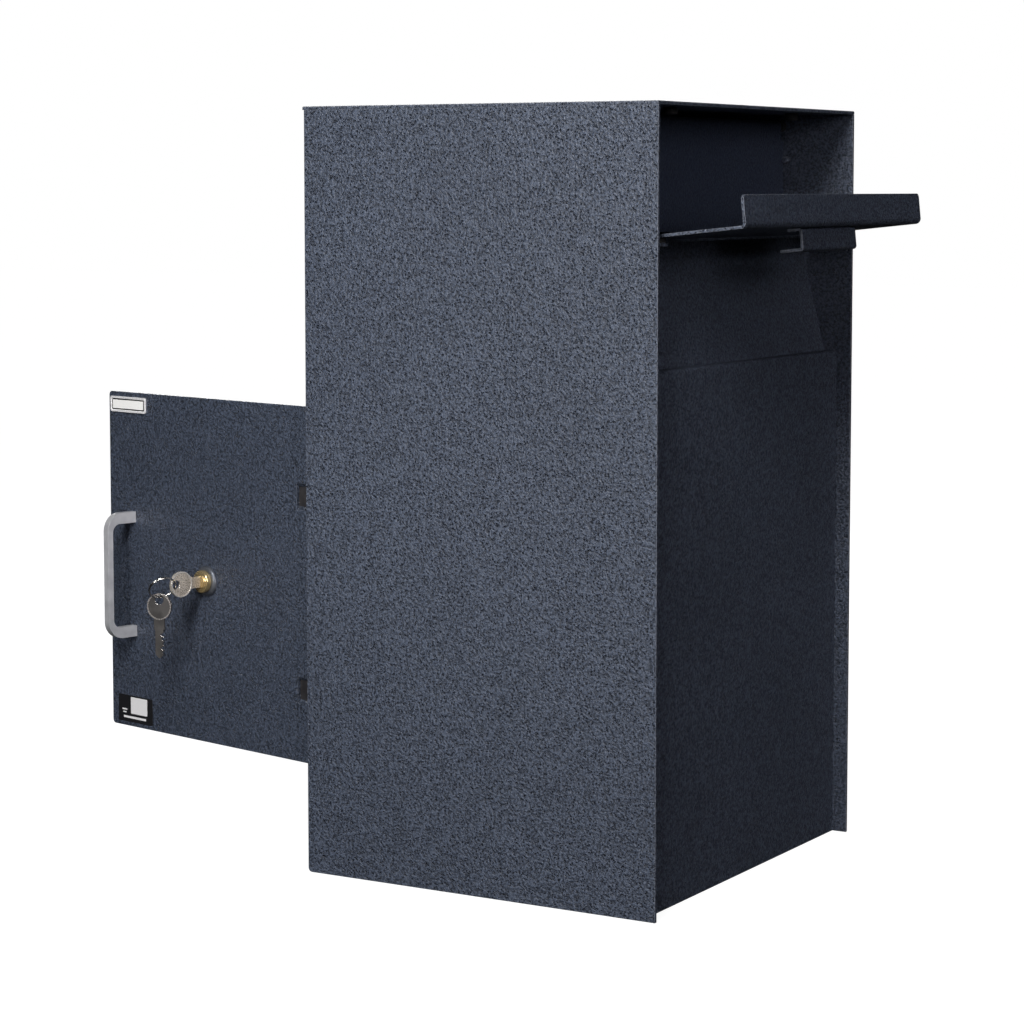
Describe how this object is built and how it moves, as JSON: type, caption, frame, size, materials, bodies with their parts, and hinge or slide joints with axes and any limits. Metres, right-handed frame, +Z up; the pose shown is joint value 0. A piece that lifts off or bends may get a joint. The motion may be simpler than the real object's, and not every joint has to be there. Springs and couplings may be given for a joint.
{
  "type": "parcel drop box",
  "caption": "Free-standing steel parcel drop box with a drop-down hopper door, hanging anti-fishing flap and a locking rear access door with keys.",
  "frame": {"origin": "middle of the cabinet's underside, on the floor", "axes": "+Z up, +X to the right seen from the front, -Y out of the front (hopper) side"},
  "size_m": [0.4104, 0.7086, 0.686],
  "materials": {
    "powder_coat": "fine textured powder coat",
    "zinc_plate": "zinc plated",
    "bright_steel": "bright",
    "nickel": "nickel plated, lightly worn",
    "brass": "polished",
    "handle_aluminium": "satin anodised",
    "rubber": "matte",
    "label_card": "blank card",
    "sticker": "printed film with a blank pale panel"
  },
  "bodies": {
    "cabinet": {"left_side_panel": "powder_coat", "right_side_panel": "powder_coat", "top_plate": "powder_coat", "floor_plate": "powder_coat", "front_panel": "powder_coat", "upper_front_panel": "powder_coat", "rear_panel": "powder_coat", "upper_door_stop": "powder_coat", "lower_door_stop": "powder_coat", "strike_angle": "powder_coat", "upper_hinge_cabinet_leaf": "zinc_plate", "lower_hinge_cabinet_leaf": "zinc_plate", "upper_hinge_pin": "bright_steel", "lower_hinge_pin": "bright_steel", "hopper_pivot_blocks": "zinc_plate", "hopper_pivot_pins": "bright_steel", "hopper_pivot_clips": "bright_steel", "hopper_stop_brackets": "powder_coat", "hopper_stop_bumpers": "rubber", "hopper_top_bumpers": "rubber", "flap_rod": "zinc_plate", "flap_rod_bushes": "zinc_plate", "flap_stop_pins": "powder_coat"},
    "access_door": {"door_panel": "powder_coat", "door_stiffeners": "powder_coat", "upper_hinge_door_leaf": "zinc_plate", "lower_hinge_door_leaf": "zinc_plate", "pull_handle": "handle_aluminium", "handle_screws": "bright_steel", "lock_body": "brass", "lock_trim_ring": "nickel", "lock_nut": "nickel", "bolt_guides": "powder_coat", "label_holder": "nickel", "label_card": "label_card", "sticker": "sticker"},
    "lock_plug": {"lock_plug": "brass", "lock_cam": "zinc_plate", "drive_pin": "bright_steel", "cam_screw": "bright_steel"},
    "bolt": {"bolt_bar": "zinc_plate"},
    "key": {"lock_key": "nickel"},
    "ring": {"key_ring": "nickel"},
    "spare": {"spare_key": "nickel"},
    "hopper": {"hopper_door": "powder_coat", "hopper_pull": "powder_coat"},
    "flap": {"security_flap": "powder_coat"}
  },
  "joints": [
    {"name": "door_hinge", "type": "hinge", "parent": "cabinet", "child": "access_door", "pos_m": [-0.1883, 0.1765, 0.25], "axis": [0, 0, 1], "range_deg": [-76.7, 38.3]},
    {"name": "lock_turn", "type": "hinge", "parent": "access_door", "child": "lock_plug", "pos_m": [-0.1546, 0.31907, 0.249], "axis": [-0.9732, 0.23, 0], "range_deg": [0, 90]},
    {"name": "bolt_slide", "type": "slide", "parent": "access_door", "child": "bolt", "axis": [0.23, 0.9732, 0], "range_m": [0, 0.01697]},
    {"name": "key_slide", "type": "slide", "parent": "lock_plug", "child": "key", "axis": [-0.9732, 0.23, 0], "range_m": [0, 0.03]},
    {"name": "ring_swing", "type": "hinge", "parent": "key", "child": "ring", "pos_m": [-0.19119, 0.32772, 0.249], "axis": [0.23, 0.9732, 0], "range_deg": [-8, 55]},
    {"name": "spare_swing", "type": "hinge", "parent": "ring", "child": "spare", "pos_m": [-0.1969, 0.34219, 0.23721], "axis": [-0.8536, 0.5209, 0], "range_deg": [-35, 60]},
    {"name": "hopper_hinge", "type": "hinge", "parent": "cabinet", "child": "hopper", "pos_m": [0, -0.1465, 0.5652], "axis": [-1, 0, 0], "range_deg": [0, 66.6]},
    {"name": "flap_hinge", "type": "hinge", "parent": "cabinet", "child": "flap", "pos_m": [0, -0.102, 0.6728], "axis": [1, 0, 0], "range_deg": [0, 80]}
  ],
  "couplings": [
    {"joint": "lock_turn", "follows": "bolt_slide", "rad_per_m": 92.558}
  ]
}
